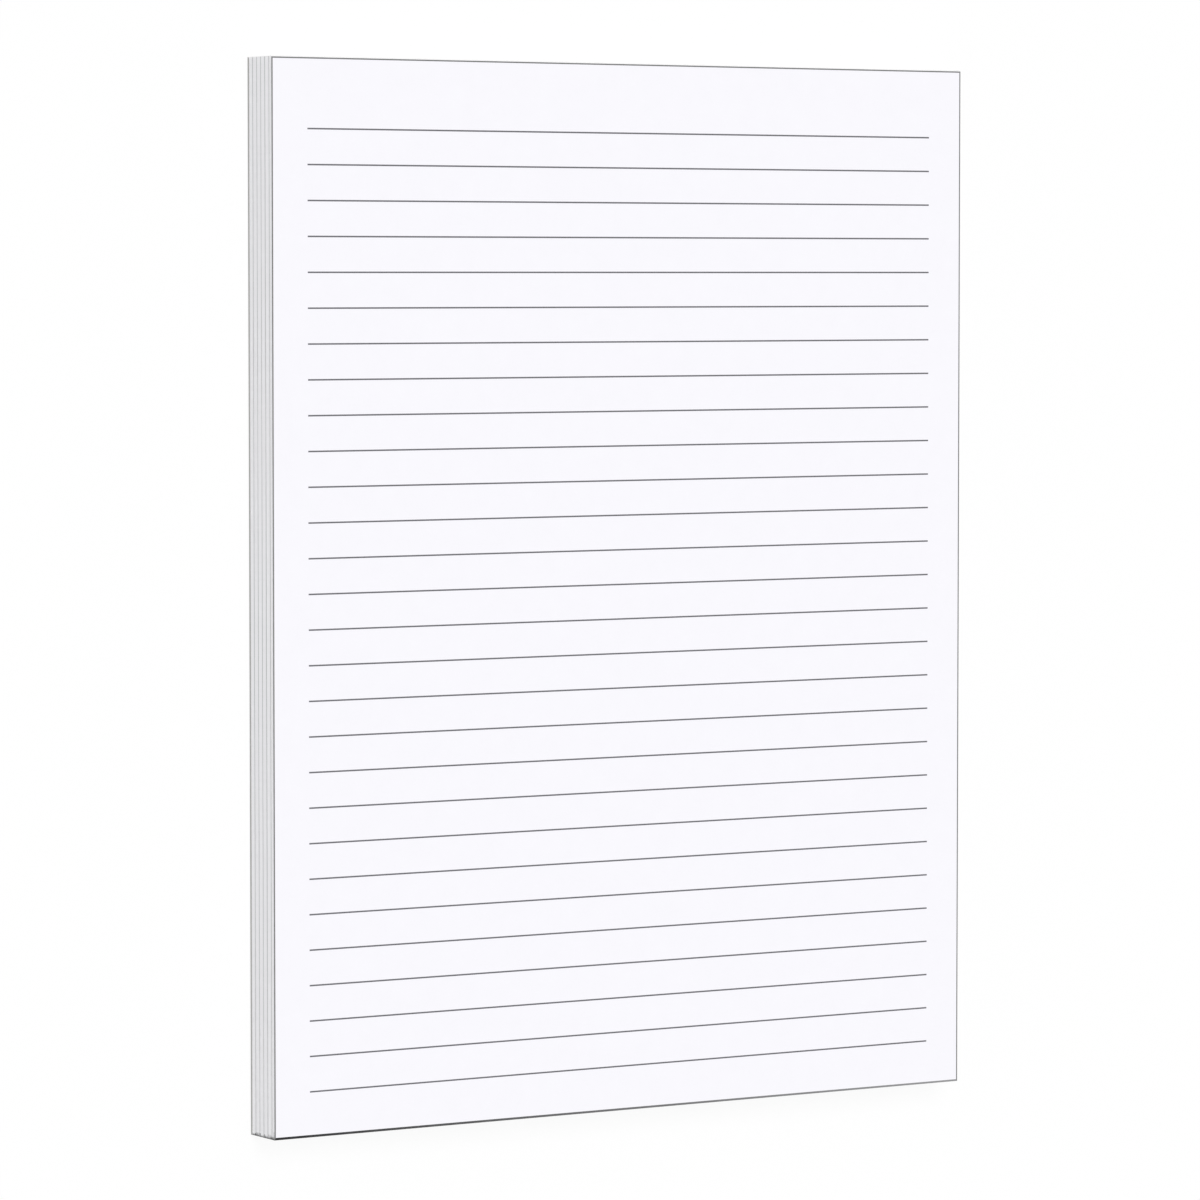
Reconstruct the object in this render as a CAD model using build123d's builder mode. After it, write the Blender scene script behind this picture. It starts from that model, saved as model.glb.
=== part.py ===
"""A glue-top writing pad: ruled letter-size sheets, padded along their top edge onto a chipboard back.

The pad lies on its back, as on a desk. X runs across the page, Y runs up the page to the glued edge
and Z points out of the page. The origin is the middle of the face that the pad rests on.
All lengths are in millimetres.
"""

import os

from build123d import *

# Sheets, guillotined to letter size
sheet_width = 215.9
sheet_length = 279.4
sheet_thickness = 0.12
sheet_count = 100

# Lifts, the handfuls in which the sheets were jogged together
top_lift_sheets = 13
lift_sheets = 18
set_back_sheets = 2
set_back_depth = 0.5

# Ruling, printed across the page
header_margin = 18.3
foot_margin = 11.0
side_margin = 10.5
line_spacing = 9.23
line_weight = 0.4
ink_depth = 0.05

# Chipboard back
board_thickness = 0.9
board_edge_radius = 0.2

# Padding glue, brushed over the top edge
glue_thickness = 0.35
glue_edge_radius = 0.2

# How far a cut runs past the edge that it opens
overrun = 1.0

# Heights
block_thickness = sheet_count * sheet_thickness
pad_thickness = board_thickness + block_thickness

# Places along Y: the glue film and the sheets together are centred on the origin
sheet_centre_y = -glue_thickness / 2
glued_edge_y = sheet_centre_y + sheet_length / 2

# Ruled lines fill the page between its header and its foot
line_length = sheet_width - 2 * side_margin
ruled_height = sheet_length - header_margin - foot_margin
line_count = int(ruled_height // line_spacing) + 1
ruling_centre_y = glued_edge_y - header_margin - (line_count - 1) * line_spacing / 2


# Ruled lines: ink that has soaked into the top sheet, level with its face
with BuildPart() as ruled_lines:
    with BuildSketch(Plane.XY.offset(pad_thickness - ink_depth)):
        with Locations((0, ruling_centre_y)):
            with GridLocations(0, line_spacing, 1, line_count):
                Rectangle(line_length, line_weight)
    extrude(amount=ink_depth)

# Page block: all the sheets, flush where they are glued
with BuildPart() as page_block:
    with BuildSketch(Plane.XY.offset(board_thickness)):
        with Locations((0, sheet_centre_y)):
            Rectangle(sheet_width, sheet_length)
    extrude(amount=block_thickness)

    # The last sheets of each lift stand back from the three free edges and leave a fine groove there
    for sheets_down in range(top_lift_sheets, sheet_count, lift_sheets):
        with BuildSketch(Plane.XY.offset(pad_thickness - sheets_down * sheet_thickness)):
            with Locations((0, sheet_centre_y)):
                Rectangle(sheet_width + 2 * overrun, sheet_length + 2 * overrun)
            with Locations((0, glued_edge_y)):
                Rectangle(
                    sheet_width - 2 * set_back_depth,
                    sheet_length - set_back_depth,
                    align=(Align.CENTER, Align.MAX),
                    mode=Mode.SUBTRACT,
                )
        extrude(amount=set_back_sheets * sheet_thickness, mode=Mode.SUBTRACT)

    # The ink takes the place of the paper that it has soaked into
    add(ruled_lines.part, mode=Mode.SUBTRACT)

# Backing board: chipboard cut with the sheets, its lower edges rolled over by the knife
with BuildPart() as backing_board:
    with BuildSketch():
        with Locations((0, sheet_centre_y)):
            Rectangle(sheet_width, sheet_length)
    extrude(amount=board_thickness)
    lower_edges = backing_board.edges().group_by(Axis.Z)[0]
    fillet(lower_edges.sort_by(Axis.Y)[:-1], radius=board_edge_radius)

# Padding glue: a flexible film over the top edges of the board and of every sheet
with BuildPart() as padding_glue:
    with BuildSketch(Plane.XZ.offset(-glued_edge_y)):
        Rectangle(sheet_width, pad_thickness, align=(Align.CENTER, Align.MIN))
    extrude(amount=-glue_thickness)
    outer_face = padding_glue.faces().sort_by(Axis.Y)[-1]
    fillet(outer_face.edges().filter_by(Axis.X), radius=glue_edge_radius)


os.makedirs("parts", exist_ok=True)

ruled_lines.part.label = "ruled_lines"
export_step(ruled_lines.part, "parts/ruled_lines.step")

page_block.part.label = "page_block"
export_step(page_block.part, "parts/page_block.step")

backing_board.part.label = "backing_board"
export_step(backing_board.part, "parts/backing_board.step")

padding_glue.part.label = "padding_glue"
export_step(padding_glue.part, "parts/padding_glue.step")
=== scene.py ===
# %% [markdown]
# # A ruled notepad
#
# This is a glue-top writing pad: a hundred ruled sheets on a grey chipboard back, held along the top edge
# by a brushed film of padding glue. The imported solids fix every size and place, and this lesson dresses
# them. There is no ornament to hide behind, so the pad lives by small things: the hairlines between the
# sheets, the darker seams where one handful of sheets meets the next, the pressed rim of the top sheet, and
# a white page that stays white without burning out.
#
# The pad lies on its back: X runs across the page, Y up the page to the glued edge, and Z out of it.

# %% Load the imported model
import math

import bmesh
import bpy
from mathutils import Matrix, Vector, noise


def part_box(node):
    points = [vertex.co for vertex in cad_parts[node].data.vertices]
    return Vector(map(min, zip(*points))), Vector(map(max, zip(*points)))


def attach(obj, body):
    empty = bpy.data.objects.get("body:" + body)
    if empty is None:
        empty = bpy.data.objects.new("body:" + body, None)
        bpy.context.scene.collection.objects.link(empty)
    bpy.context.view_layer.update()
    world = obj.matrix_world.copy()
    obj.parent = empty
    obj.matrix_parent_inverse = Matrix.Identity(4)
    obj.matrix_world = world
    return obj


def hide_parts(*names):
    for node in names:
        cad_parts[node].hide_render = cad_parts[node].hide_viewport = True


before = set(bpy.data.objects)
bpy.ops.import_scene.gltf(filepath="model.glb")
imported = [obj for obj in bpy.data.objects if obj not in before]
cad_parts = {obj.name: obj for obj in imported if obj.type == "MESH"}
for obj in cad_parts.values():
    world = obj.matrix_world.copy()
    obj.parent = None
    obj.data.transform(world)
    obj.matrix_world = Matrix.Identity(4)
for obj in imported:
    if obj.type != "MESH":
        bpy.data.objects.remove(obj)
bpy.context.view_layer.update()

MM = 0.001


def in_mm(corner):
    """A point in millimetres, rounded for printing."""
    return [round(value / MM, 3) for value in corner]


print("nodes:", sorted(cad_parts))

# %% [markdown]
# ## Measures
#
# Blender works in metres here, so every size is a number of millimetres times MM. The block's width, length
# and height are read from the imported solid. The sheet's thickness is the one size that the solid can't
# tell, and with it the block's height gives the number of sheets.

# %% Read the pad's measures
SHEET_THICKNESS = 0.12 * MM

block_low, block_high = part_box("page_block")
glue_low, glue_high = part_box("padding_glue")
page_width = block_high.x - block_low.x
page_length = block_high.y - block_low.y
page_middle_y = (block_high.y + block_low.y) / 2
sheet_count = round((block_high.z - block_low.z) / SHEET_THICKNESS)

print("page in mm:", round(page_width / MM, 2), "x", round(page_length / MM, 2), "sheets:", sheet_count)

# %% [markdown]
# ## The camera
#
# In the photo the pad is seen from its left, turned by about 32 degrees, so that a narrow strip of its side
# shows. Here the pad lies down, and the camera goes round it by the same angles instead: from straight
# above the page it swings towards the left edge, and a little up towards the glued edge. A long lens from
# far away gives the photo's mild perspective. Building the camera's matrix from its three axes keeps it
# free of the guesswork of Euler angles: its back axis points away from the page, and the page's own Y sets
# what is up.

# %% Place the camera
LENS = 178.2
CAMERA_DISTANCE = 1580.73 * MM
CAMERA_TURN = math.radians(31.879)
CAMERA_RISE = math.radians(3.131)
AIM_X = -8.865 * MM
AIM_Y = -2.743 * MM
NEAREST_SEEN = 10 * MM

back_axis = Vector(
    (
        -math.sin(CAMERA_TURN) * math.cos(CAMERA_RISE),
        math.sin(CAMERA_RISE),
        math.cos(CAMERA_TURN) * math.cos(CAMERA_RISE),
    )
)
right_axis = Vector((0, 1, 0)).cross(back_axis).normalized()
up_axis = back_axis.cross(right_axis)
aim = Vector((AIM_X, AIM_Y, block_high.z))

lens = bpy.data.cameras.new("photo_camera")
lens.lens = LENS
lens.clip_start = NEAREST_SEEN
camera = bpy.data.objects.new("photo_camera", lens)
bpy.context.scene.collection.objects.link(camera)
turned = Matrix((right_axis, up_axis, back_axis)).transposed().to_4x4()
camera.matrix_world = Matrix.Translation(aim + back_axis * CAMERA_DISTANCE) @ turned
bpy.context.scene.camera = camera

print("camera in mm:", in_mm(camera.location))

# %% [markdown]
# ## Helpers for node trees
#
# Materials and Geometry Nodes are both trees of nodes, so the same few helpers build both. One puts a value
# or a link on a socket, one adds a node, and one does a sum. With them a tree reads like a formula.

# %% Define the node helpers
def feed(tree, socket, value):
    """Links another node's output to a socket, or sets a plain value on it."""
    if isinstance(value, bpy.types.NodeSocket):
        tree.links.new(value, socket)
    else:
        socket.default_value = value


def add_node(tree, kind, inputs=None, **settings):
    """Adds a node with its settings. Inputs go by socket name, or by number where names repeat."""
    node = tree.nodes.new(kind)
    for name, value in settings.items():
        setattr(node, name, value)
    for key, value in (inputs or {}).items():
        feed(tree, node.inputs[key], value)
    return node


def maths(tree, operation, *values):
    """One step of a sum, on numbers or other nodes' outputs."""
    node = add_node(tree, "ShaderNodeMath", dict(enumerate(values)), operation=operation)
    return node.outputs["Value"]


# %% [markdown]
# ## Light
#
# Paper is nearly as bright as a surface gets, so the light has to stay plain: an even white world gives
# most of it, and one soft sun from beyond the glued edge gives the rest and leaves the pad's sides a step
# darker than its face. Together they are set so that the page renders just under white. The world also has
# to look white behind the pad, which takes more than it may light with, so the rays that show a surface are
# told apart from the rays that light others, and only the first kind sees full white.

# %% Light the scene
WORLD_LIGHT = 0.66
SUN_STRENGTH = 1.34
SUN_SOFTNESS = math.radians(25)
SUN_FROM = Vector((-0.20, 0.42, 0.885))
WHITE = (1, 1, 1, 1)
FULL_WHITE = 1.0


def seen_directly(tree):
    """1 for the rays that show a surface, also in gloss and glass, and 0 for those that light others."""
    path = add_node(tree, "ShaderNodeLightPath").outputs
    mirrored = maths(tree, "MAXIMUM", path["Is Glossy Ray"], path["Is Transmission Ray"])
    return maths(tree, "MAXIMUM", path["Is Camera Ray"], mirrored)


def light_world():
    """A white world, which lights the pad with less than it shows."""
    world = bpy.data.worlds.new("white_room")
    bpy.context.scene.world = world
    world.use_nodes = True
    tree = world.node_tree
    tree.nodes.clear()
    lighting = add_node(tree, "ShaderNodeBackground", {"Color": WHITE, "Strength": WORLD_LIGHT})
    showing = add_node(tree, "ShaderNodeBackground", {"Color": WHITE, "Strength": FULL_WHITE})
    ways = {0: seen_directly(tree), 1: lighting.outputs[0], 2: showing.outputs[0]}
    either = add_node(tree, "ShaderNodeMixShader", ways)
    add_node(tree, "ShaderNodeOutputWorld", {"Surface": either.outputs[0]})


def light_sun():
    """A broad soft sun: it lights every spot of the page alike, which a near lamp would not."""
    sun = bpy.data.lights.new("soft_sun", "SUN")
    sun.energy = SUN_STRENGTH
    sun.angle = SUN_SOFTNESS
    lamp = bpy.data.objects.new("soft_sun", sun)
    lamp.rotation_mode = "QUATERNION"
    lamp.rotation_quaternion = SUN_FROM.to_track_quat("Z", "Y")
    bpy.context.scene.collection.objects.link(lamp)


light_world()
light_sun()
bpy.context.scene.view_settings.view_transform = "Standard"
print("world light", WORLD_LIGHT, "and sun", SUN_STRENGTH)

# %% [markdown]
# ## Floor
#
# The photo's background is pure white. More light would burn the page out, so the floor itself is made to
# look white: for the rays that show it, most of its shade is a plain white glow. The rest is a real matt
# floor, so the pad's soft shadow still falls on it, and the light that it sends back to the pad is honest.

# %% Lay the floor
FLOOR_COLOUR = (0.95, 0.95, 0.95, 1)
FLOOR_GLOW_SHARE = 0.9
FLOOR_HALF_SIZE = 4000 * MM
FLOOR_GAP = 0.05 * MM


def floor_material():
    """Matt pale floor that is mostly a white glow to the rays that show it."""
    material = bpy.data.materials.new("white_floor")
    material.use_nodes = True
    tree = material.node_tree
    tree.nodes.clear()
    matt = add_node(tree, "ShaderNodeBsdfDiffuse", {"Color": FLOOR_COLOUR})
    glow = add_node(tree, "ShaderNodeEmission", {"Color": WHITE, "Strength": FULL_WHITE})
    share = maths(tree, "MULTIPLY", seen_directly(tree), FLOOR_GLOW_SHARE)
    mixed = add_node(tree, "ShaderNodeMixShader", {0: share, 1: matt.outputs[0], 2: glow.outputs[0]})
    add_node(tree, "ShaderNodeOutputMaterial", {"Surface": mixed.outputs[0]})
    return material


def lay_floor():
    """One large square just under the pad."""
    far = FLOOR_HALF_SIZE
    corners = [(x, y, -FLOOR_GAP) for x, y in ((-far, -far), (far, -far), (far, far), (-far, far))]
    mesh = bpy.data.meshes.new("floor")
    mesh.from_pydata(corners, [], [range(len(corners))])
    mesh.materials.append(floor_material())
    floor = bpy.data.objects.new("floor", mesh)
    bpy.context.scene.collection.objects.link(floor)
    return floor


lay_floor()
print("floor", FLOOR_GAP / MM, "mm under the pad")

# %% [markdown]
# ## Building blocks for finishes
#
# Every finish here starts from where a point lies on the pad, in metres, so a pattern has a real size:
# fibres of a quarter of a millimetre, clouds of a few millimetres. Object coordinates do that without any
# unwrapping, and they stay put when the model leaves Blender. Noise gives the pattern, a Map Range node
# sets how far it reaches, a Mix node turns it into two close colours, and a Bump node into relief too fine
# to model.

# %% Start and end a finish
def new_finish(name):
    """Starts a material. Returns it with its empty tree and each point's place on the pad."""
    material = bpy.data.materials.new(name)
    material.use_nodes = True
    tree = material.node_tree
    tree.nodes.clear()
    return material, tree, add_node(tree, "ShaderNodeTexCoord").outputs["Object"]


def set_surface(tree, colour, roughness, gloss, normal=None):
    """Ends a material in one surface with that colour, roughness and fine relief."""
    surface = add_node(tree, "ShaderNodeBsdfPrincipled", {"Base Color": colour, "Roughness": roughness})
    surface.inputs["Specular IOR Level"].default_value = gloss
    if normal is not None:
        feed(tree, surface.inputs["Normal"], normal)
    add_node(tree, "ShaderNodeOutputMaterial", {"Surface": surface.outputs["BSDF"]})


# %% Define the patterns
NOISE_LOW = 0.3
NOISE_HIGH = 0.7


def grain(tree, place, size, detail=2.0):
    """Noise with grains of that size. Three sizes make it longer along an axis."""
    sizes = size if isinstance(size, tuple) else (size, size, size)
    counts = [1 / length for length in sizes]
    stretched = add_node(tree, "ShaderNodeVectorMath", {0: place, 1: counts}, operation="MULTIPLY")
    inputs = {"Vector": stretched.outputs["Vector"], "Scale": 1.0, "Detail": detail}
    return add_node(tree, "ShaderNodeTexNoise", inputs).outputs["Fac"]


def reach(tree, value, low, high, start=NOISE_LOW, stop=NOISE_HIGH):
    """Takes a value from the span start to stop and spreads it from low to high."""
    inputs = {"Value": value, "From Min": start, "From Max": stop, "To Min": low, "To Max": high}
    return add_node(tree, "ShaderNodeMapRange", inputs).outputs["Result"]


def mean(tree, *values):
    """The average of a few patterns."""
    total = values[0]
    for value in values[1:]:
        total = maths(tree, "ADD", total, value)
    return maths(tree, "DIVIDE", total, len(values))


# %% Define colours and relief
# A Mix node has sockets for every kind of value. These are the numbers of its colour sockets.
FIRST_COLOUR, SECOND_COLOUR, MIXED_COLOUR = 6, 7, 2


def between(tree, share, first, second):
    """A colour between two others."""
    inputs = {"Factor": share, FIRST_COLOUR: first, SECOND_COLOUR: second}
    return add_node(tree, "ShaderNodeMix", inputs, data_type="RGBA").outputs[MIXED_COLOUR]


def relief(tree, height, depth):
    """A fine bump of that depth in metres."""
    inputs = {"Height": height, "Strength": 1.0, "Distance": depth}
    return add_node(tree, "ShaderNodeBump", inputs).outputs["Normal"]


def grey(tone, blue=1.0):
    """A grey with an optional lean to blue."""
    return (tone, tone, tone * blue, 1)


# %% [markdown]
# ## Paper
#
# Bright white writing paper has a blue-white tint from its brightener, and it is dull: light scatters among
# the fibres and leaves no gloss. Up close it isn't even. Held to light it is cloudy, where the fibres lie
# thick and thin, and its skin is a felt of fibres. A picture of paper could show that, but on a page this
# large it would blur or repeat, so two noises do it, one for the clouds and one for the felt. Both are
# kept very faint, because from a step away a page reads as one flat white.

# %% Make the paper finish
PAPER_LIGHT = (0.928, 0.920, 0.962, 1)
PAPER_SHADE = (0.912, 0.903, 0.946, 1)
PAPER_ROUGHNESS = (0.85, 0.97)
PAPER_GLOSS = 0.2
CLOUD_SIZE = 5 * MM
FIBRE_SIZE = 0.25 * MM
FIBRE_DETAIL = 3.0
FIBRE_DEPTH = 0.004 * MM


def paper_finish():
    """Blue-white, dull paper, cloudy and felted."""
    material, tree, place = new_finish("paper")
    fibres = grain(tree, place, FIBRE_SIZE, FIBRE_DETAIL)
    clouds = grain(tree, place, CLOUD_SIZE)
    colour = between(tree, reach(tree, mean(tree, fibres, clouds), 0, 1), PAPER_SHADE, PAPER_LIGHT)
    roughness = reach(tree, fibres, *PAPER_ROUGHNESS)
    set_surface(tree, colour, roughness, PAPER_GLOSS, relief(tree, fibres, FIBRE_DEPTH))
    return material


paper = paper_finish()
print("made", paper.name)

# %% [markdown]
# ## Cut edges
#
# The knife leaves each sheet's edge a shade of its own, since no two sheets are pressed quite alike, and it
# drags faint streaks down across all of them. The tone of a sheet is a random number drawn from its place
# in the stack: its height divided by the sheet's thickness, rounded down. A slower noise along the same
# numbers makes a few sheets together lighter or darker. The streaks are noise that is short along the edge
# and very long down it.
#
# Down in the seams between the lifts little light arrives, so those faces get a darker version of the same
# finish: painted shade, on top of the shade that the groove itself casts. At the left corner of the foot the
# edges get a painted contact shadow. It fades with the distance from the corner, along both sides that meet
# there, and from the page down to the board. Noise makes it reach further here than there.

# %% Describe what marks the edges
BAND_SHEETS = 4
# These values paint a contact shadow onto the sheet edges at the left foot corner, broken up in blotches.
CORNER_SHADOW_TONE = grey(0.06)
CORNER_SHADOW_SHARE = 0.95
CORNER_SHADOW_SPAN = (0.1 * MM, 1.0 * MM)
CORNER_SHADOW_BLOTCH_SIZE = 1.6 * MM
CORNER_SHADOW_BLOTCH_SPAN = (0.4, 2.0)
# From the board up to the page: a step away from the corner counts for more low down, so less is painted
# dark.
CORNER_SHADOW_FADE_SPAN = (1.5, 0.55)


def sheet_number(tree, where):
    """Which sheet a point belongs to, counted up from the board."""
    above_board = maths(tree, "SUBTRACT", where["Z"], block_low.z)
    return maths(tree, "FLOOR", maths(tree, "DIVIDE", above_board, SHEET_THICKNESS))


def sheet_tones(tree, number):
    """A random number for each sheet, and a slower one that a few neighbours share."""
    single = add_node(tree, "ShaderNodeTexWhiteNoise", {"W": number}, noise_dimensions="1D")
    inputs = {"W": maths(tree, "DIVIDE", number, BAND_SHEETS), "Scale": 1.0}
    shared = add_node(tree, "ShaderNodeTexNoise", inputs, noise_dimensions="1D")
    return single.outputs["Value"], reach(tree, shared.outputs["Fac"], 0, 1)


def corner_contact_shadow(tree, place, where):
    """Painted contact shadow: most at the page's left foot corner, fading sideways and down in blotches."""
    from_left = maths(tree, "SUBTRACT", where["X"], block_low.x)
    from_foot = maths(tree, "SUBTRACT", where["Y"], block_low.y)
    breakup = reach(tree, grain(tree, place, CORNER_SHADOW_BLOTCH_SIZE), *CORNER_SHADOW_BLOTCH_SPAN)
    fading = reach(tree, where["Z"], *CORNER_SHADOW_FADE_SPAN, block_low.z, block_high.z)
    away = maths(tree, "MULTIPLY", maths(tree, "ADD", from_left, from_foot), breakup)
    return reach(tree, maths(tree, "MULTIPLY", away, fading), CORNER_SHADOW_SHARE, 0, *CORNER_SHADOW_SPAN)


# %% Make the cut-edge finishes
EDGE_BLUE = 1.02
EDGE_LIGHT = grey(0.94, EDGE_BLUE)
EDGE_SHADE = grey(0.82, EDGE_BLUE)
# The seam tones are painted shade for the grooves between the lifts.
PAINTED_SEAM_LIGHT = grey(0.50, EDGE_BLUE)
PAINTED_SEAM_DARK = grey(0.42, EDGE_BLUE)
EDGE_ROUGHNESS = (0.85, 0.98)
DULL_GLOSS = 0.15
STREAK_SIZE = (0.9 * MM, 0.9 * MM, 30 * MM)
STREAK_DETAIL = 3.0
STREAK_DEPTH = 0.006 * MM


def cut_edge_finish(name, light, shade):
    """Sheet edges between two tones, with knife streaks and a painted contact shadow at the foot corner."""
    material, tree, place = new_finish(name)
    where = add_node(tree, "ShaderNodeSeparateXYZ", {"Vector": place}).outputs
    single, shared = sheet_tones(tree, sheet_number(tree, where))
    streaks = grain(tree, place, STREAK_SIZE, STREAK_DETAIL)
    without_corner_shadow = between(tree, mean(tree, single, shared, streaks), shade, light)
    # Painted contact shadow over the sheet edges at the foot corner.
    colour = between(tree, corner_contact_shadow(tree, place, where), without_corner_shadow, CORNER_SHADOW_TONE)
    roughness = reach(tree, streaks, *EDGE_ROUGHNESS)
    set_surface(tree, colour, roughness, DULL_GLOSS, relief(tree, streaks, STREAK_DEPTH))
    return material


cut_edge = cut_edge_finish("cut_edge", EDGE_LIGHT, EDGE_SHADE)
# The seams get the cut-edge finish in darker tones, as painted shade.
seam_painted_shade = cut_edge_finish("seam_painted_shade", PAINTED_SEAM_LIGHT, PAINTED_SEAM_DARK)
print("made", cut_edge.name, "and", seam_painted_shade.name)

# %% [markdown]
# ## The stack of sheets
#
# Under the top sheet lie ninety-nine more. Their edges are what shows, as fine lines along the pad's sides,
# with a darker seam after every eighteen or so: the sheets are jogged square in lifts, a handful at a time,
# and the last sheets of a lift stand back a little from the free edges.
#
# The sheets could be ninety-nine thin boxes. But two faces of each box would lie hidden against its
# neighbours, and they would waste most of the picture that the finish is baked into. So the stack is one
# closed shell, made by a rule, which is what Geometry Nodes are for. A rectangle with extra points is swept
# up a line with three points for each sheet: the lower and upper corner of its edge, and the bottom of the
# hairline above it. The sweep only supplies the mesh, one ring of points for each point of the line.

# %% Sweep the bare shell
CORNERS = 4
RINGS_PER_SHEET = 3


def counted(tree, operation, *values):
    """One step of a sum in whole numbers."""
    node = add_node(tree, "FunctionNodeIntegerMath", dict(enumerate(values)), operation=operation)
    return node.outputs[0]


def open_tree(name, inputs):
    """A geometry tree with named inputs. Returns it with the outputs of its input node."""
    tree = bpy.data.node_groups.new(name, "GeometryNodeTree")
    for label, (kind, _) in inputs.items():
        tree.interface.new_socket(label, in_out="INPUT", socket_type="NodeSocket" + kind)
    tree.interface.new_socket("Mesh", in_out="OUTPUT", socket_type="NodeSocketGeometry")
    return tree, add_node(tree, "NodeGroupInput").outputs


def swept_outline(tree, given):
    """Rings of points up a line, closed at both ends. Returns the mesh and the outline that was swept."""
    sides = {"Width": given["Width"], "Height": given["Length"]}
    rectangle = add_node(tree, "GeometryNodeCurvePrimitiveQuadrilateral", sides).outputs[0]
    cuts = {"Curve": rectangle, "Cuts": given["Cuts"]}
    outline = add_node(tree, "GeometryNodeSubdivideCurve", cuts).outputs[0]
    rings = counted(tree, "SUBTRACT", counted(tree, "MULTIPLY", given["Sheets"], RINGS_PER_SHEET), 1)
    ends = {"Start": (0, 0, 0), "End": (0, 0, 1)}
    line = add_node(tree, "GeometryNodeCurvePrimitiveLine", ends).outputs[0]
    rise = add_node(tree, "GeometryNodeResampleCurve", {"Curve": line, "Count": rings}).outputs[0]
    sweep = {"Curve": rise, "Profile Curve": outline, "Fill Caps": True}
    return add_node(tree, "GeometryNodeCurveToMesh", sweep).outputs[0], outline


# %% [markdown]
# The rule then has to know where each point belongs. The sweep numbers its points ring by ring from the
# bottom up, so whole-number division does it: a point's number divided by the ring's length gives its ring,
# the ring divided by three gives its sheet, and what is left over says which place and which part of the
# sheet it is. The seams follow from the same numbers, counted down from the page in half steps, so that a
# hairline lies half way between two sheets.

# %% Number the points
HAIRLINE_PART = 2
STEPS_PER_SHEET = 2


def point_places(tree, given):
    """Works out from a point's number its place in the ring, its sheet and its part of the sheet."""
    index = add_node(tree, "GeometryNodeInputIndex").outputs[0]
    ring_length = counted(tree, "MULTIPLY", counted(tree, "ADD", given["Cuts"], 1), CORNERS)
    place = counted(tree, "FLOORED_MODULO", index, ring_length)
    ring = counted(tree, "DIVIDE_FLOOR", index, ring_length)
    sheet = counted(tree, "DIVIDE_FLOOR", ring, RINGS_PER_SHEET)
    part = counted(tree, "FLOORED_MODULO", ring, RINGS_PER_SHEET)
    return place, sheet, part


def in_steps(tree, sheets):
    """A number of sheets, counted in half steps."""
    return counted(tree, "MULTIPLY", sheets, STEPS_PER_SHEET)


def in_seam(tree, given, sheet, in_hairline):
    """1 for the set-back sheets that end each lift and for the hairlines beside them, and 0 elsewhere."""
    down = counted(tree, "SUBTRACT", counted(tree, "ADD", given["Sheets"], 1), sheet)
    steps_down = counted(tree, "SUBTRACT", in_steps(tree, down), in_hairline)
    flush = counted(tree, "SUBTRACT", given["Top lift"], given["Set-back sheets"])
    first = counted(tree, "ADD", in_steps(tree, flush), 1)
    beyond = counted(tree, "SUBTRACT", steps_down, first)
    phase = counted(tree, "FLOORED_MODULO", beyond, in_steps(tree, given["Lift"]))
    started = maths(tree, "GREATER_THAN", beyond, -1)
    width = counted(tree, "ADD", in_steps(tree, given["Set-back sheets"]), 1)
    return maths(tree, "MULTIPLY", started, maths(tree, "LESS_THAN", phase, width))


# %% [markdown]
# With that known, each point gets its final place. No sheet lies quite like the next: each slips in by a
# random hair and wavers along its edge by another, which is noise read at the point's spot and moved on
# from sheet to sheet. The seams and the hairlines are pulled in further. At the glued edge the sheets are
# flush, so only the other three sides are pulled in.

# %% Pull the points into place
# A Random Value node has sockets for every kind of value. These number the ones for plain numbers.
LEAST, MOST, DRAWN = 2, 3, 1
NOISE_STEP = 0.37
WAVER_DETAIL = 1.0


def sheet_inset(tree, given, sheet, spot, seam, in_hairline):
    """How far a point lies inside the outline: by the sheet's slip and waver, the seam and the hairline."""
    draw = {LEAST: 0.0, MOST: given["Slip"], "ID": sheet, "Seed": given["Seed"]}
    slip = add_node(tree, "FunctionNodeRandomValue", draw).outputs[DRAWN]
    density = maths(tree, "DIVIDE", 1, given["Waver length"])
    inputs = {0: spot, "Scale": density}
    stretched = add_node(tree, "ShaderNodeVectorMath", inputs, operation="SCALE").outputs[0]
    step = maths(tree, "MULTIPLY", sheet, NOISE_STEP)
    own = add_node(tree, "ShaderNodeCombineXYZ", {"Z": step}).outputs[0]
    where = add_node(tree, "ShaderNodeVectorMath", {0: stretched, 1: own}, operation="ADD").outputs[0]
    inputs = {"Vector": where, "Scale": 1.0, "Detail": WAVER_DETAIL}
    wave = add_node(tree, "ShaderNodeTexNoise", inputs).outputs["Fac"]
    waver = maths(tree, "MULTIPLY", wave, given["Waver"])
    set_back = maths(tree, "MULTIPLY", seam, given["Set-back"])
    gap = maths(tree, "MULTIPLY", in_hairline, given["Hairline depth"])
    return maths(tree, "ADD", maths(tree, "ADD", slip, waver), maths(tree, "ADD", set_back, gap))


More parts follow.
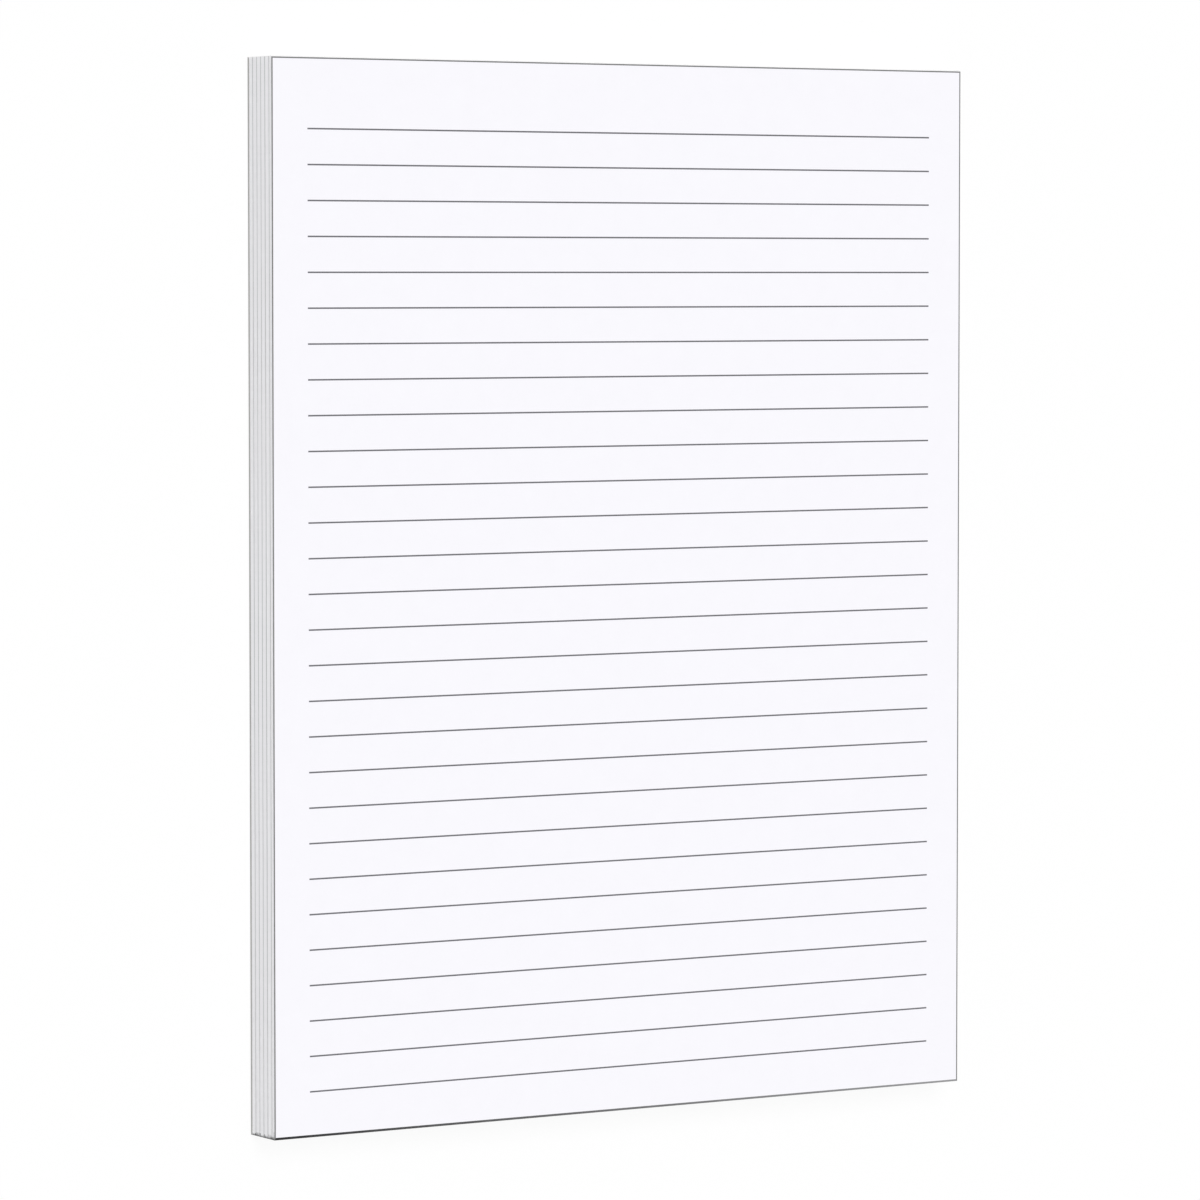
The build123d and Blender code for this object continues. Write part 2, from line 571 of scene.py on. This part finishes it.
def placed_points(tree, given, spot, sheet, part, inset):
    """Each point's final place: the outline pulled in by the inset, at the height of its sheet and part."""
    flat = add_node(tree, "ShaderNodeSeparateXYZ", {"Vector": spot}).outputs
    half_width = maths(tree, "SUBTRACT", maths(tree, "DIVIDE", given["Width"], 2), inset)
    x = maths(tree, "MINIMUM", flat["X"], half_width)
    x = maths(tree, "MAXIMUM", x, maths(tree, "MULTIPLY", half_width, -1))
    foot = maths(tree, "SUBTRACT", inset, maths(tree, "DIVIDE", given["Length"], 2))
    y = maths(tree, "ADD", maths(tree, "MAXIMUM", flat["Y"], foot), given["Middle"])
    gap = given["Hairline share"]
    climb = maths(tree, "MULTIPLY", part, maths(tree, "SUBTRACT", 1, gap))
    climb = maths(tree, "MINIMUM", maths(tree, "ADD", maths(tree, "DIVIDE", gap, 2), climb), 1)
    z = maths(tree, "MULTIPLY", maths(tree, "ADD", sheet, climb), given["Sheet thickness"])
    corner = {"X": x, "Y": y, "Z": maths(tree, "ADD", z, given["Bottom"])}
    return add_node(tree, "ShaderNodeCombineXYZ", corner).outputs[0]


# %% [markdown]
# Put together, the tree sweeps the shell, moves its points and gives the seams their own finish. A face
# counts as part of a seam when any of its points is, which takes in the floor of the groove and both its
# walls. The sweep shades the shell as one soft skin. That suits pressed paper along the sides, but round a
# corner it would fade one side's light into the next, so the four upright edges there are marked sharp.

# %% Finish the shell
TOUCHES = 0.01


def with_finish(tree, mesh, finish, selection=True):
    """Sets a finish on a mesh, or on the faces that are selected."""
    inputs = {"Geometry": mesh, "Material": finish, "Selection": selection}
    return add_node(tree, "GeometryNodeSetMaterial", inputs).outputs[0]


def with_sharp_corners(tree, given, mesh, place):
    """Marks the edges that join corner to corner, from ring to ring, as sharp."""
    side = counted(tree, "ADD", given["Cuts"], 1)
    at_corner = maths(tree, "LESS_THAN", counted(tree, "FLOORED_MODULO", place, side), 1)
    of_points = add_node(tree, "GeometryNodeFieldOnDomain", {0: at_corner}, domain="POINT").outputs[0]
    upright = maths(tree, "GREATER_THAN", of_points, 1 - TOUCHES)
    inputs = {"Geometry": mesh, "Selection": upright, "Shade Smooth": False}
    return add_node(tree, "GeometryNodeSetShadeSmooth", inputs, domain="EDGE").outputs[0]


# %% Put the rule together
def stack_tree(inputs):
    """The whole rule, from the bare shell to the finished stack."""
    tree, given = open_tree("sheet_stack", inputs)
    shell, outline = swept_outline(tree, given)
    place, sheet, part = point_places(tree, given)
    in_hairline = counted(tree, "DIVIDE_FLOOR", part, HAIRLINE_PART)
    position = add_node(tree, "GeometryNodeInputPosition").outputs[0]
    sample = {"Geometry": outline, "Value": position, "Index": place}
    spot = add_node(tree, "GeometryNodeSampleIndex", sample, data_type="FLOAT_VECTOR").outputs[0]
    seam = in_seam(tree, given, sheet, in_hairline)
    inset = sheet_inset(tree, given, sheet, spot, seam, in_hairline)
    points = placed_points(tree, given, spot, sheet, part, inset)
    moved = add_node(tree, "GeometryNodeSetPosition", {"Geometry": shell, "Position": points}).outputs[0]
    crisp = with_sharp_corners(tree, given, moved, place)
    whole = add_node(tree, "GeometryNodeRealizeInstances", {"Geometry": crisp}).outputs[0]
    seam_of_points = add_node(tree, "GeometryNodeFieldOnDomain", {0: seam}, domain="POINT").outputs[0]
    touches_seam = maths(tree, "GREATER_THAN", seam_of_points, TOUCHES)
    edged = with_finish(tree, whole, given["Edge finish"])
    # The faces at the seams take the finish with painted shade.
    seamed = with_finish(tree, edged, given["Seam painted shade"], touches_seam)
    add_node(tree, "NodeGroupOutput", {"Mesh": seamed})
    return tree


# %% [markdown]
# The tree's inputs are the stack's real sizes. They are set on the modifier by each socket's identifier,
# because names needn't be unique, and before the object is first evaluated. The result is then turned into
# a plain mesh, so that nothing live is left on the piece.

# %% Set the stack's sizes
TOP_LIFT_SHEETS = 13
LIFT_SHEETS = 18
SET_BACK_SHEETS = 2
OUTLINE_CUTS = 23
STACK_SEED = 7

stack_inputs = {
    "Width": ("Float", page_width),
    "Length": ("Float", page_length),
    "Middle": ("Float", page_middle_y),
    "Bottom": ("Float", block_low.z),
    "Sheets": ("Int", sheet_count - 1),
    "Sheet thickness": ("Float", SHEET_THICKNESS),
    "Top lift": ("Int", TOP_LIFT_SHEETS),
    "Lift": ("Int", LIFT_SHEETS),
    "Set-back sheets": ("Int", SET_BACK_SHEETS),
    "Set-back": ("Float", 0.5 * MM),
    "Hairline depth": ("Float", 0.03 * MM),
    "Hairline share": ("Float", 0.12),
    "Slip": ("Float", 0.02 * MM),
    "Waver": ("Float", 0.02 * MM),
    "Waver length": ("Float", 40 * MM),
    "Cuts": ("Int", OUTLINE_CUTS),
    "Seed": ("Int", STACK_SEED),
    "Edge finish": ("Material", cut_edge),
    "Seam painted shade": ("Material", seam_painted_shade),
}

print("stack:", sheet_count - 1, "sheets, in lifts of", LIFT_SHEETS)


# %% Make the stack
def run_tree(name, tree, inputs):
    """Runs a geometry tree on a new object and keeps the result as a plain mesh."""
    piece = bpy.data.objects.new(name, bpy.data.meshes.new(name))
    bpy.context.scene.collection.objects.link(piece)
    modifier = piece.modifiers.new(name, "NODES")
    modifier.node_group = tree
    for item in tree.interface.items_tree:
        if item.in_out == "INPUT":
            modifier[item.identifier] = inputs[item.name][1]
    evaluated = piece.evaluated_get(bpy.context.evaluated_depsgraph_get())
    made = bpy.data.meshes.new_from_object(evaluated)
    piece.modifiers.clear()
    piece.data = made
    return piece


sheet_stack = run_tree("sheet_stack", stack_tree(stack_inputs), stack_inputs)
print("sheet_stack:", len(sheet_stack.data.vertices), "points,", len(sheet_stack.data.polygons), "faces")

# %% [markdown]
# ## A map for the stack
#
# When the finish is baked into a picture, each face needs its own spot there. An automatic unwrap would cut
# this wall of hairlines into a thousand slivers. Unrolled, it is one tidy strip: once round the pad
# from left to right, and one step up for each ring of points, so even a hairline gets its own rows of
# pixels. The two ends of the stack, which never show, share the strip that is left at the top.

# %% Unroll the stack
MAP_NAME = "OFBake"
WALL_SHARE = 0.9
MAP_MARGIN = 0.01


def end_spot(point, on_top):
    """Where a point of the lower or upper end lies on the map."""
    across = (point.x - block_low.x) / page_width
    along = (point.y - block_low.y) / page_length
    ends_low = WALL_SHARE + MAP_MARGIN
    return (across + on_top) / 2 * (1 - MAP_MARGIN), ends_low + along * (1 - ends_low)


def unroll(piece):
    """Lays the wall out as one strip and the two ends as small rectangles above it."""
    mesh = piece.data
    ring_length = CORNERS * (OUTLINE_CUTS + 1)
    last_ring = len(mesh.vertices) // ring_length - 1
    layer = mesh.uv_layers.new(name=MAP_NAME)
    for face in mesh.polygons:
        spots = [divmod(index, ring_length) for index in face.vertices]
        places = [place for _, place in spots]
        closes_ring = max(places) - min(places) > 1
        for loop, index, (ring, place) in zip(face.loop_indices, face.vertices, spots):
            if len(spots) == ring_length:
                layer.data[loop].uv = end_spot(mesh.vertices[index].co, ring > 0)
            else:
                step = ring_length if closes_ring and place == 0 else place
                layer.data[loop].uv = (step / ring_length, WALL_SHARE * ring / last_ring)


unroll(sheet_stack)
print("unrolled", sheet_stack.name, "onto", MAP_NAME)

# %% [markdown]
# ## The rim of the page
#
# The top sheet is the page itself. Its edge isn't sharp: the clamp and the knife press the rim down. Its grey
# is painted edge shade, the thin line that sets a white page off from a white background. Along the foot the
# line is wider and darker, a painted contact shadow that is darkest at the left corner. It could be drawn by
# a texture, but a line under half a millimetre wide on a page this long would be a pixel or two in any
# picture,
# so the rim is real: a narrow band of faces that slopes down to the cut, with finishes of its own.

# %% Make the rim finishes
RIM_GRAIN = 1.5 * MM
RIM_DETAIL = 3.0
# The rim's grey is painted edge shade.
RIM_SHADE_TONES = (0.18, 0.22)
RIM_ROUGHNESS = (0.8, 0.95)
# Along the foot the grey is a painted contact shadow, darkest at the left corner.
FOOT_SHADOW_TONES = (0.03, 0.30)
FOOT_SHADOW_BREAKUP = 0.06


def rim_finish():
    """Painted edge shade: a grey line, a little uneven along the edge."""
    material, tree, place = new_finish("rim_edge_shade")
    unevenness = grain(tree, place, RIM_GRAIN, RIM_DETAIL)
    dark, light = RIM_SHADE_TONES
    uneven_share = reach(tree, unevenness, 0, 1)
    colour = between(tree, uneven_share, grey(dark, EDGE_BLUE), grey(light, EDGE_BLUE))
    set_surface(tree, colour, reach(tree, unevenness, *RIM_ROUGHNESS), DULL_GLOSS)
    return material


def foot_finish():
    """The same along the foot as a painted contact shadow, darkest at the left corner."""
    material, tree, place = new_finish("foot_contact_shadow")
    unevenness = grain(tree, place, RIM_GRAIN, RIM_DETAIL)
    across = add_node(tree, "ShaderNodeSeparateXYZ", {"Vector": place}).outputs["X"]
    share = reach(tree, across, 0, 1, block_low.x, block_high.x)
    share = maths(tree, "ADD", share, reach(tree, unevenness, -FOOT_SHADOW_BREAKUP, FOOT_SHADOW_BREAKUP))
    dark, light = FOOT_SHADOW_TONES
    colour = between(tree, share, grey(dark, EDGE_BLUE), grey(light, EDGE_BLUE))
    set_surface(tree, colour, reach(tree, unevenness, *RIM_ROUGHNESS), DULL_GLOSS)
    return material


rim_edge_shade = rim_finish()
foot_contact_shadow = foot_finish()
print("made", rim_edge_shade.name, "and", foot_contact_shadow.name)

# %% [markdown]
# ## The top sheet
#
# The sheet is built from three rings of four corners: its underside, its cut edge, and the page inside the
# rim. Bridging them gives the cut edges and the rim. A box with a bevel would come close, but its rim would
# be equally wide all round, and here the foot's is wider and tapers. The page lies a hair under the ink,
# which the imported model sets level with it, so that the two don't fight for the same height. On the map for
# baking, the page takes nearly all the room, and each narrow face gets a thin strip below it.

# %% Lay out corners and strips
def corner_ring(builder, height, side_inset=0.0, foot_insets=(0.0, 0.0), top_inset=0.0):
    """Four corners of the sheet, from the foot's left end round to the top's left end."""
    left, right = block_low.x + side_inset, block_high.x - side_inset
    foot_left, foot_right = (block_low.y + inset for inset in foot_insets)
    top = block_high.y - top_inset
    corners = ((left, foot_left), (right, foot_right), (right, top), (left, top))
    return [builder.verts.new((x, y, height)) for x, y in corners]


def lay_on_map(face, layer, low, high):
    """Lays a face of four corners across the whole width of the map, between two heights."""
    corners = ((0, low), (1, low), (1, high), (0, high))
    for loop, corner in zip(face.loops, corners):
        loop[layer].uv = corner


# %% Make the top sheet
RIM_WIDTH = 0.375 * MM
TOP_RIM_WIDTH = 0.36 * MM
FOOT_WIDTHS = (0.65 * MM, 0.51 * MM)
RIM_DROP = 0.03 * MM
INK_STANDS_PROUD = 0.012 * MM
STRIP_SHARE = 0.005
PAGE, CUT, RIM, FOOT = range(4)
RIMS_FROM_FOOT = (FOOT, RIM, RIM, RIM)


def make_top_sheet():
    """The page, its pressed rim, its cut edges and its underside."""
    builder = bmesh.new()
    layer = builder.loops.layers.uv.new(MAP_NAME)
    page_height = block_high.z - INK_STANDS_PROUD
    under = corner_ring(builder, block_high.z - SHEET_THICKNESS)
    cut = corner_ring(builder, page_height - RIM_DROP)
    page = corner_ring(builder, page_height, RIM_WIDTH, FOOT_WIDTHS, TOP_RIM_WIDTH)
    narrow = [(under[::-1], PAGE)]
    for side, rim in enumerate(RIMS_FROM_FOOT):
        after = (side + 1) % CORNERS
        narrow.append(((under[side], under[after], cut[after], cut[side]), CUT))
        narrow.append(((cut[side], cut[after], page[after], page[side]), rim))
    for strip, (corners, finish) in enumerate(narrow):
        face = builder.faces.new(corners)
        face.material_index = finish
        lay_on_map(face, layer, strip * STRIP_SHARE, (strip + 1) * STRIP_SHARE)
    lay_on_map(builder.faces.new(page), layer, (len(narrow) + 1) * STRIP_SHARE, 1)
    mesh = bpy.data.meshes.new("top_sheet")
    builder.to_mesh(mesh)
    builder.free()
    for finish in (paper, cut_edge, rim_edge_shade, foot_contact_shadow):
        mesh.materials.append(finish)
    sheet = bpy.data.objects.new("top_sheet", mesh)
    bpy.context.scene.collection.objects.link(sheet)
    return sheet


top_sheet = make_top_sheet()
print("top_sheet:", len(top_sheet.data.polygons), "faces")

# %% [markdown]
# ## Ruling ink
#
# The twenty-eight lines are printed in a thin grey ink that soaks into the paper. They could be drawn by a
# texture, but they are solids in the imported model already, at their true width and place, so they stay and
# only get a finish. Offset ink is never quite even: the fibres that stand up take more of it, so its tone
# wanders a little along each line.

# %% Ink the lines
INK_LIGHT = (0.175, 0.172, 0.19, 1)
INK_DARK = (0.138, 0.136, 0.15, 1)
INK_ROUGHNESS = (0.75, 0.92)
INK_GLOSS = 0.25
INK_GRAIN = 0.4 * MM


def ink_finish():
    """Thin grey ink, darker where the fibres took more of it."""
    material, tree, place = new_finish("ruling_ink")
    uptake = grain(tree, place, INK_GRAIN, FIBRE_DETAIL)
    colour = between(tree, reach(tree, uptake, 0, 1), INK_DARK, INK_LIGHT)
    roughness = reach(tree, uptake, *INK_ROUGHNESS)
    set_surface(tree, colour, roughness, INK_GLOSS, relief(tree, uptake, FIBRE_DEPTH))
    return material


def dress(node_name, finish):
    """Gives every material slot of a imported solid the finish."""
    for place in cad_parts[node_name].material_slots:
        place.material = finish
    print("dressed", node_name, "with", finish.name)


dress("ruled_lines", ink_finish())

# %% [markdown]
# ## Chipboard
#
# The back is unlined grey chipboard, pressed from waste paper. It is a grey felt in which fibres, pale and
# dark, lie every way, with a few specks of white paper and of print among them. A fibre is noise that is
# drawn out along one direction and cut off high, so that only its crests are left, and a few directions
# together make a felt. A speck is a ragged dot at the heart of a Voronoi cell. Each cell has a random
# colour, and two channels of it say whether the cell has a speck and how large it is.
#
# The solid has the right shape, with its lower edges rolled over by the knife, so it only needs a finish.
# On its cut edges the board shows its thin layers instead of fibres, so those are kept to the flat faces.

# %% Lay the fibres and the specks
FIBRE_TURNS = [math.radians(turn) for turn in (12, 75, 137)]
BOARD_FIBRE = (0.16 * MM, 2.2 * MM, 1 * MM)
FIBRE_CREST = (0.56, 0.72)
SPECK_SPACING = 1.2 * MM
SPECK_RADIUS_SHARE = 0.22
RAGGED_SPAN = (-0.12, 0.12)
FLAT_ENOUGH = 0.7


def board_fibres(tree, place, shift):
    """The crests of drawn-out noise, from 0 to 1, in a few directions."""
    crests = 0.0
    for turn in FIBRE_TURNS:
        inputs = {"Vector": place, "Location": shift, "Rotation": (0, 0, turn), "Scale": BOARD_FIBRE}
        laid = add_node(tree, "ShaderNodeMapping", inputs, vector_type="TEXTURE").outputs["Vector"]
        drawn_out = add_node(tree, "ShaderNodeTexNoise", {"Vector": laid, "Scale": 1.0}).outputs["Fac"]
        crests = maths(tree, "MAXIMUM", crests, reach(tree, drawn_out, 0, 1, *FIBRE_CREST))
    return crests


def specks(tree, place, shift, share, roughening):
    """1 on a ragged dot in that share of the cells of a Voronoi pattern, and 0 elsewhere."""
    inputs = {"Vector": place, "Location": shift, "Scale": [SPECK_SPACING] * 3}
    spaced = add_node(tree, "ShaderNodeMapping", inputs, vector_type="TEXTURE").outputs["Vector"]
    inputs = {"Vector": spaced, "Scale": 1.0}
    cells = add_node(tree, "ShaderNodeTexVoronoi", inputs, voronoi_dimensions="2D").outputs
    drawn = add_node(tree, "ShaderNodeSeparateColor", {"Color": cells["Color"]}).outputs
    chosen = maths(tree, "LESS_THAN", drawn["Red"], share)
    radius = maths(tree, "MULTIPLY", drawn["Green"], SPECK_RADIUS_SHARE)
    distance = maths(tree, "ADD", cells["Distance"], reach(tree, roughening, *RAGGED_SPAN))
    return maths(tree, "MULTIPLY", chosen, maths(tree, "LESS_THAN", distance, radius))


def on_flat_faces(tree):
    """1 on the faces that look up or down, and 0 on the cut edges."""
    normal = add_node(tree, "ShaderNodeNewGeometry").outputs["Normal"]
    upward = add_node(tree, "ShaderNodeSeparateXYZ", {"Vector": normal}).outputs["Z"]
    return maths(tree, "GREATER_THAN", maths(tree, "ABSOLUTE", upward), FLAT_ENOUGH)


# %% Dress the backing board
BOARD_LIGHT = (0.45, 0.448, 0.44, 1)
BOARD_DARK = (0.38, 0.378, 0.37, 1)
PALE_FIBRE = (0.53, 0.527, 0.515, 1)
DARK_FIBRE = (0.30, 0.299, 0.294, 1)
PALE_SPECK = (0.62, 0.615, 0.60, 1)
DARK_SPECK = (0.14, 0.14, 0.143, 1)
PALE_SHARE = 0.2
DARK_SHARE = 0.15
UNSHIFTED = (0, 0, 0)
SHIFTED = (37 * MM, 53 * MM, 0)
BOARD_FELT = 0.6 * MM
BOARD_DETAIL = 4.0
BOARD_LAYER = (9 * MM, 9 * MM, 0.15 * MM)
BOARD_ROUGHNESS = (0.88, 0.99)
BOARD_DEPTH = 0.03 * MM


def chipboard_finish():
    """Grey felt in thin layers, with fibres and specks on its flat faces."""
    material, tree, place = new_finish("chipboard")
    felt = grain(tree, place, BOARD_FELT, BOARD_DETAIL)
    layers = grain(tree, place, BOARD_LAYER)
    colour = between(tree, reach(tree, mean(tree, felt, layers), 0, 1), BOARD_DARK, BOARD_LIGHT)
    flat = on_flat_faces(tree)
    for pattern, tint in (
        (board_fibres(tree, place, UNSHIFTED), PALE_FIBRE),
        (board_fibres(tree, place, SHIFTED), DARK_FIBRE),
        (specks(tree, place, UNSHIFTED, PALE_SHARE, felt), PALE_SPECK),
        (specks(tree, place, SHIFTED, DARK_SHARE, felt), DARK_SPECK),
    ):
        colour = between(tree, maths(tree, "MULTIPLY", pattern, flat), colour, tint)
    roughness = reach(tree, felt, *BOARD_ROUGHNESS)
    set_surface(tree, colour, roughness, DULL_GLOSS, relief(tree, felt, BOARD_DEPTH))
    return material


dress("backing_board", chipboard_finish())

# %% [markdown]
# ## Padding glue
#
# Padding glue is a white rubbery paste that is brushed along the clamped stack and dries to a thin satin
# film. Brush strokes run along it, it sinks where the lifts meet, and it thins out at its rounded arrises.
# That is relief that shows, so it is modelled and not only bumped: a fine grid over the top edge, each
# point pushed out by the film's thickness there. The thickness comes from noise that is long along the
# strokes and short across them, with a second, rounder noise for lumps.

# %% Work out the film's thickness
STROKE_LENGTH = 45 * MM
STROKE_WIDTH = 0.9 * MM
STROKE_SHARE = 0.30
LUMP_SIZE = 7 * MM
LUMP_SHARE = 0.16
LUMP_LAYER = 5.0
SINK_WIDTH = 0.45 * MM
SINK_SHARE = 0.22
ARRIS_RADIUS = 0.2 * MM
ARRIS_SHARE = 0.45

film_full = glue_high.y - glue_low.y
lift_ends = range(TOP_LIFT_SHEETS - SET_BACK_SHEETS // 2, sheet_count, LIFT_SHEETS)
seam_heights = [block_high.z - end * SHEET_THICKNESS for end in lift_ends] + [block_low.z]


def soft_noise(x, y, z):
    """Noise from 0 to 1."""
    return (1 + noise.noise(Vector((x, y, z)))) / 2


def film_share(x, z):
    """How much of its full thickness the film has at a place on the top edge."""
    share = 1 - STROKE_SHARE * soft_noise(x / STROKE_LENGTH, z / STROKE_WIDTH, 0)
    share -= LUMP_SHARE * soft_noise(x / LUMP_SIZE, z / LUMP_SIZE, LUMP_LAYER)
    nearest = min(abs(z - seam) for seam in seam_heights)
    share -= SINK_SHARE * math.exp(-((nearest / SINK_WIDTH) ** 2))
    to_arris = min(z - glue_low.z, glue_high.z - z, x - glue_low.x, glue_high.x - x)
    if to_arris < ARRIS_RADIUS:
        rounding = math.sqrt(1 - (1 - to_arris / ARRIS_RADIUS) ** 2)
        share *= ARRIS_SHARE + (1 - ARRIS_SHARE) * rounding
    return share


print("film:", round(film_full / MM, 3), "mm at most,", len(seam_heights), "seams under it")

# %% [markdown]
# A film this thin isn't opaque. Where the brush left little of it, the white sheet edges, the lines between
# the lifts with their painted shade and the grey edge of the board show through. The grid knows how thick it
# is everywhere, so it keeps that as an attribute of its points. The finish reads the attribute back and mixes
# the glue's own colour with the colour of what lies behind it.

# %% Make the glue finish
FILM_ATTRIBUTE = "film_share"
GLUE_LIGHT = (0.87, 0.868, 0.858, 1)
GLUE_SHADE = (0.82, 0.817, 0.805, 1)
# Behind the film the seams keep their painted shade.
BEHIND_SEAM_PAINTED_SHADE = grey(0.55)
FILM_SPAN = (0.40, 1.0)
COVER_SPAN = (0.45, 0.95)
GLUE_ROUGHNESS = (0.32, 0.5)
GLUE_GLOSS = 0.45
GLUE_PATCH = 9 * MM
BRISTLE_SIZE = (18 * MM, 18 * MM, 0.2 * MM)
BRISTLE_DETAIL = 3.0
BRISTLE_DEPTH = 0.04 * MM


def behind_film(tree, place):
    """What lies behind the film: sheet edges, the lines between the lifts in painted shade, and the board."""
    height = add_node(tree, "ShaderNodeSeparateXYZ", {"Vector": place}).outputs["Z"]
    down = maths(tree, "DIVIDE", maths(tree, "SUBTRACT", block_high.z, height), SHEET_THICKNESS)
    past_flush = maths(tree, "SUBTRACT", down, TOP_LIFT_SHEETS - SET_BACK_SHEETS)
    into_lift = maths(tree, "FLOORED_MODULO", past_flush, LIFT_SHEETS)
    on_seam_shade = maths(tree, "LESS_THAN", into_lift, SET_BACK_SHEETS)
    on_board = maths(tree, "LESS_THAN", height, block_low.z)
    return between(tree, on_board, between(tree, on_seam_shade, EDGE_LIGHT, BEHIND_SEAM_PAINTED_SHADE), BOARD_LIGHT)


def glue_finish():
    """Satin white rubber with fine bristle marks, see-through where it is thin."""
    material, tree, place = new_finish("padding_glue")
    bristles = grain(tree, place, BRISTLE_SIZE, BRISTLE_DETAIL)
    share = reach(tree, mean(tree, bristles, grain(tree, place, GLUE_PATCH)), 0, 1)
    glue = between(tree, share, GLUE_SHADE, GLUE_LIGHT)
    film = add_node(tree, "ShaderNodeAttribute", attribute_name=FILM_ATTRIBUTE).outputs["Fac"]
    cover = reach(tree, film, *COVER_SPAN, *FILM_SPAN)
    colour = between(tree, cover, behind_film(tree, place), glue)
    roughness = reach(tree, bristles, *GLUE_ROUGHNESS)
    set_surface(tree, colour, roughness, GLUE_GLOSS, relief(tree, bristles, BRISTLE_DEPTH))
    return material


padding_glue = glue_finish()
print("made", padding_glue.name)

# %% [markdown]
# The grid's points lie close together over the rounded arrises and a step apart between them. Its outermost
# points are copied onto the flat back of the film, against the sheets, and a rim of faces joins the two, so
# the film is closed.

# %% Space the film's points
FILM_STEP_X = 0.9 * MM
FILM_STEP_Z = 0.3 * MM
ARRIS_STEPS = 3


def spread(low, high, step):
    """Places from low to high: close together over the rounded ends and about a step apart between."""
    turns = [math.pi / 2 * count / ARRIS_STEPS for count in range(ARRIS_STEPS)]
    rounded = [ARRIS_RADIUS * (1 - math.cos(turn)) for turn in turns]
    first, last = low + ARRIS_RADIUS, high - ARRIS_RADIUS
    count = math.ceil((last - first) / step)
    inner = [first + (last - first) * place / count for place in range(count + 1)]
    return [low + inset for inset in rounded] + inner + [high - inset for inset in reversed(rounded)]


def film_grid(builder):
    """The film's outer face, row by row up to the page, with its thickness kept on each point."""
    layer = builder.verts.layers.float.new(FILM_ATTRIBUTE)
    grid = []
    for z in spread(glue_low.z, glue_high.z, FILM_STEP_Z):
        grid.append([])
        for x in spread(glue_low.x, glue_high.x, FILM_STEP_X):
            share = film_share(x, z)
            point = builder.verts.new((x, glue_low.y + film_full * share, z))
            point[layer] = share
            grid[-1].append(point)
    return grid


# %% Make the glue film
def make_glue_film():
    """The outer face, a flat back against the sheets, and a rim that closes the two."""
    builder = bmesh.new()
    grid = film_grid(builder)
    for lower, upper in zip(grid, grid[1:]):
        for column in range(len(lower) - 1):
            face = builder.faces.new((lower[column + 1], lower[column], upper[column], upper[column + 1]))
            face.smooth = True
    bottom, top = grid[0], grid[-1]
    left, right = [row[0] for row in grid], [row[-1] for row in grid]
    edge = bottom[:-1] + right[:-1] + top[:0:-1] + left[:0:-1]
    back = [builder.verts.new((point.co.x, glue_low.y, point.co.z)) for point in edge]
    builder.faces.new(back)
    for place in range(len(edge)):
        after = (place + 1) % len(edge)
        builder.faces.new((edge[place], edge[after], back[after], back[place]))
    mesh = bpy.data.meshes.new("glue_film")
    builder.to_mesh(mesh)
    builder.free()
    mesh.materials.append(padding_glue)
    film = bpy.data.objects.new("glue_film", mesh)
    bpy.context.scene.collection.objects.link(film)
    return film


glue_film = make_glue_film()
print("glue_film:", len(glue_film.data.polygons), "faces")

# %% [markdown]
# ## The pieces and their body
#
# Each piece is listed with the imported solid that it stands for and the name of a material slot. It now
# rides on the pad's one body, and that solid is hidden.

# %% Tie the pieces to the frame
PIECES = (
    (sheet_stack, "page_block", "paper"),
    (top_sheet, "page_block", "paper"),
    (glue_film, "padding_glue", "padding_glue"),
)

for piece, node_name, slot_name in PIECES:
    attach(piece, "root")
    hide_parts(node_name)
